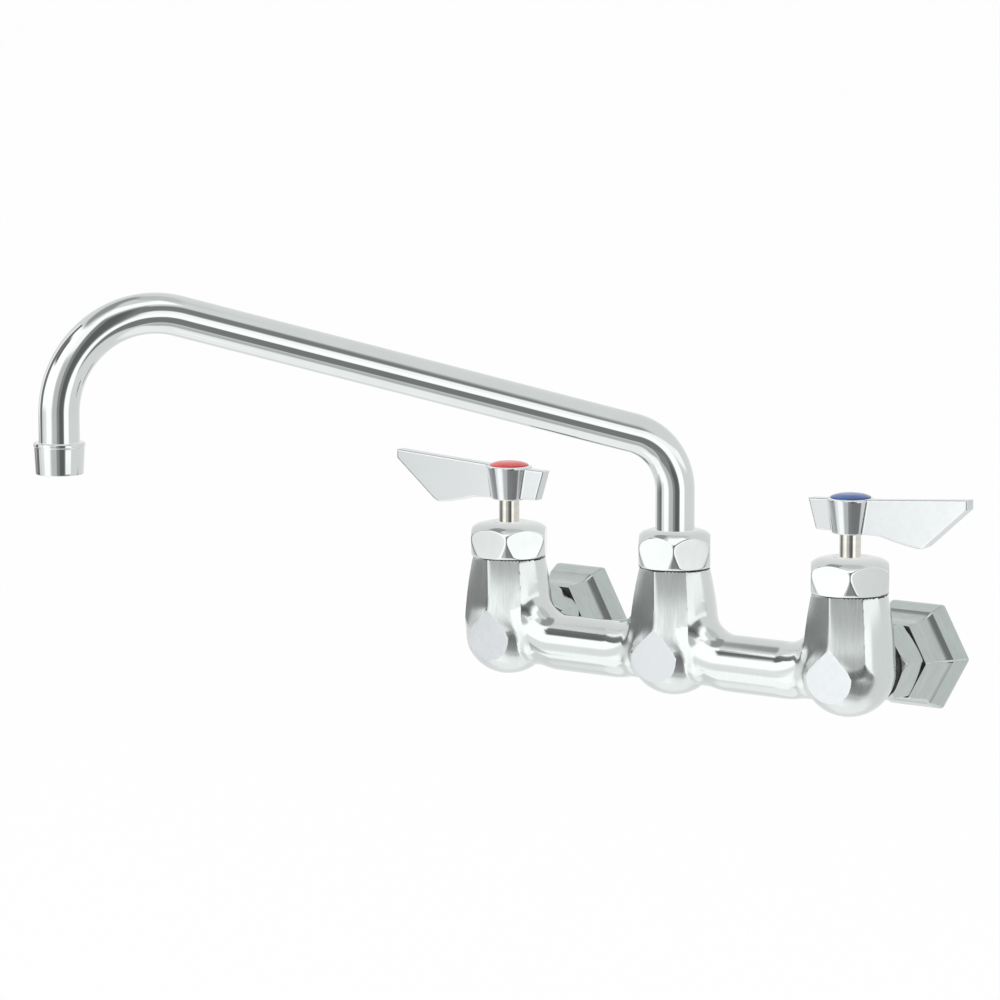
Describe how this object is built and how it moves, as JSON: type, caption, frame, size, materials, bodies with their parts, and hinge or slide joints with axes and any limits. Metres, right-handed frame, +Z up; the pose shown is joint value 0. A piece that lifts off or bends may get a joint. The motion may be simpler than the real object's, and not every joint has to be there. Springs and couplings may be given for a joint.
{
  "type": "wall faucet",
  "caption": "Wall-mounted commercial kitchen faucet with a cast body, ceramic valves, wing lever handles and a long swinging spout.",
  "frame": {"origin": "on the wall plane, midway between the two supply inlets, at the height of their axes", "axes": "+X to the right for someone who faces the faucet, +Y into the wall, +Z up"},
  "size_m": [0.3425, 0.3297, 0.2053],
  "materials": {
    "cast_chrome": "satin",
    "bright_chrome": "polished",
    "satin_chrome": "satin",
    "nickel": "polished",
    "brass": "machined",
    "steel": "satin",
    "ceramic": "lapped",
    "rubber": "matte",
    "fibre": "matte",
    "white_plastic": "matte",
    "red_plastic": "gloss",
    "blue_plastic": "gloss"
  },
  "bodies": {
    "body": {"faucet_body": "cast_chrome", "spout_nut": "bright_chrome", "spout_thrust_washer": "white_plastic", "hot_wall_flange": "cast_chrome", "hot_coupling_nut": "cast_chrome", "hot_inlet_tailpiece": "brass", "hot_union_washer": "fibre", "hot_bonnet_nut": "bright_chrome", "hot_cartridge_body": "brass", "hot_seat_seal": "rubber", "hot_fixed_disc": "ceramic", "hot_stem_o_ring": "rubber", "cold_wall_flange": "cast_chrome", "cold_coupling_nut": "cast_chrome", "cold_inlet_tailpiece": "brass", "cold_union_washer": "fibre", "cold_bonnet_nut": "bright_chrome", "cold_cartridge_body": "brass", "cold_seat_seal": "rubber", "cold_fixed_disc": "ceramic", "cold_stem_o_ring": "rubber"},
    "spout": {"spout_tube": "bright_chrome", "spout_shank": "brass", "spout_lower_o_ring": "rubber", "spout_upper_o_ring": "rubber", "outlet_nozzle": "bright_chrome", "stream_former": "white_plastic", "outlet_washer": "rubber"},
    "hot_handle": {"hot_lever_handle": "satin_chrome", "hot_stem": "nickel", "hot_moving_disc": "ceramic", "hot_handle_screw": "steel", "hot_index_button": "red_plastic"},
    "cold_handle": {"cold_lever_handle": "satin_chrome", "cold_stem": "nickel", "cold_moving_disc": "ceramic", "cold_handle_screw": "steel", "cold_index_button": "blue_plastic"}
  },
  "joints": [
    {"name": "spout_swivel", "type": "hinge", "parent": "body", "child": "spout", "pos_m": [0, -0.06, 0.05], "axis": [0, 0, 1], "range_deg": [-66, 130]},
    {"name": "hot_lever_turn", "type": "hinge", "parent": "body", "child": "hot_handle", "pos_m": [-0.1016, -0.06, 0.06], "axis": [0, 0, 1], "range_deg": [0, 90]},
    {"name": "cold_lever_turn", "type": "hinge", "parent": "body", "child": "cold_handle", "pos_m": [0.1016, -0.06, 0.06], "axis": [0, 0, 1], "range_deg": [-90, 0]}
  ]
}
